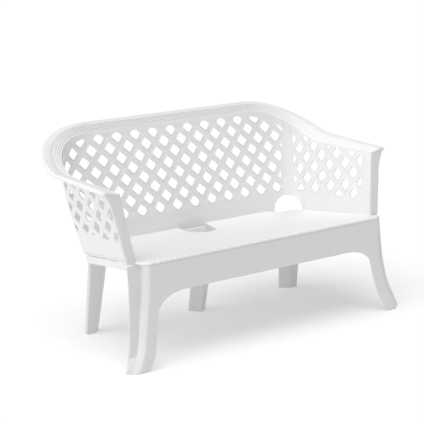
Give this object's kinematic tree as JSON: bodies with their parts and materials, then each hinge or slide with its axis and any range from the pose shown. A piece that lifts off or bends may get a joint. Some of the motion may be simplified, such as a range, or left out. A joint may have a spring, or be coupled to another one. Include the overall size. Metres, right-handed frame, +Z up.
{
  "type": "garden bench",
  "caption": "White resin garden bench with a reclined lattice back, lattice arms, a fluted rolled rail, an arched apron and cabriole front legs.",
  "frame": {"origin": "on the floor under the middle of the bench", "axes": "+Z up, front faces -Y, +X along the length of the bench"},
  "size_m": [1.45, 0.755, 0.829],
  "materials": {
    "white_resin": "satin moulded, slightly soft gloss",
    "screw_steel": "zinc plated"
  },
  "bodies": {
    "root": {"arm_lattice_left": "white_resin", "arm_lattice_right": "white_resin", "arm_post_left": "white_resin", "arm_post_right": "white_resin", "arm_rail_end_left": "white_resin", "arm_rail_end_right": "white_resin", "arm_rail_left": "white_resin", "arm_rail_right": "white_resin", "back_top_rail": "white_resin", "backrest_lattice": "white_resin", "corner_rail_left": "white_resin", "corner_rail_right": "white_resin", "corner_stile_left": "white_resin", "corner_stile_right": "white_resin", "front_apron": "white_resin", "front_leg_left": "white_resin", "front_leg_right": "white_resin", "middle_leg": "white_resin", "rail_screws": "screw_steel", "rear_leg_left": "white_resin", "rear_leg_right": "white_resin", "rear_skirt": "white_resin", "seat_cross_ribs": "white_resin", "seat_deck": "white_resin", "seat_long_ribs": "white_resin", "side_skirt_left": "white_resin", "side_skirt_right": "white_resin"}
  },
  "joints": []
}
